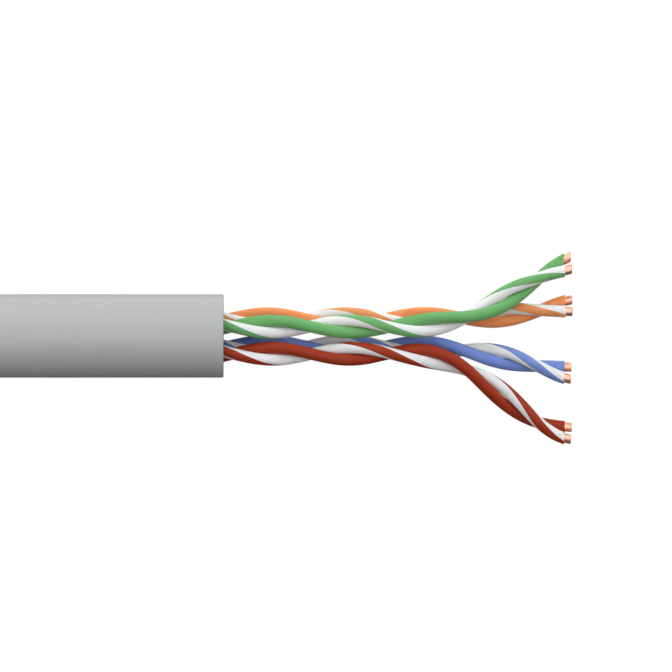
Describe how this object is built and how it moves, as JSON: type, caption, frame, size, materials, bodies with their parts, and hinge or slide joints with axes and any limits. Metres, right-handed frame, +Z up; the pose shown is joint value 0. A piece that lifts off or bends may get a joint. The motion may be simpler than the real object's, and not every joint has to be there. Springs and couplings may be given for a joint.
{
  "type": "stripped network cable end",
  "caption": "Short straight sample of round twisted-pair network cable, stripped so its colour-coded pairs fan out to bare copper tips.",
  "frame": {"origin": "on the resting surface, under the middle of the whole part's box", "axes": "+X along the cable from its square cut end to its bare tips, +Y across it, +Z up"},
  "size_m": [0.0614, 0.0116, 0.0051],
  "materials": {
    "jacket_grey": "smooth extruded PVC, light grey",
    "orange_plastic": "satin extruded polyethylene",
    "white_orange_plastic": "satin white with a lengthwise orange stripe",
    "green_plastic": "satin extruded polyethylene",
    "white_green_plastic": "satin white with a lengthwise green stripe",
    "blue_plastic": "satin extruded polyethylene",
    "white_blue_plastic": "satin white with a lengthwise blue stripe",
    "brown_plastic": "satin extruded polyethylene",
    "white_brown_plastic": "satin white with a lengthwise brown stripe",
    "bare_copper": "bright drawn copper with cut ends",
    "rip_cord_thread": "twisted white polyester thread"
  },
  "bodies": {
    "root": {"outer_jacket": "jacket_grey", "rip_cord": "rip_cord_thread", "insulation_orange": "orange_plastic", "insulation_white_orange": "white_orange_plastic", "insulation_green": "green_plastic", "insulation_white_green": "white_green_plastic", "insulation_blue": "blue_plastic", "insulation_white_blue": "white_blue_plastic", "insulation_brown": "brown_plastic", "insulation_white_brown": "white_brown_plastic", "copper_core_orange": "bare_copper", "copper_core_white_orange": "bare_copper", "copper_core_green": "bare_copper", "copper_core_white_green": "bare_copper", "copper_core_blue": "bare_copper", "copper_core_white_blue": "bare_copper", "copper_core_brown": "bare_copper", "copper_core_white_brown": "bare_copper"}
  },
  "joints": []
}
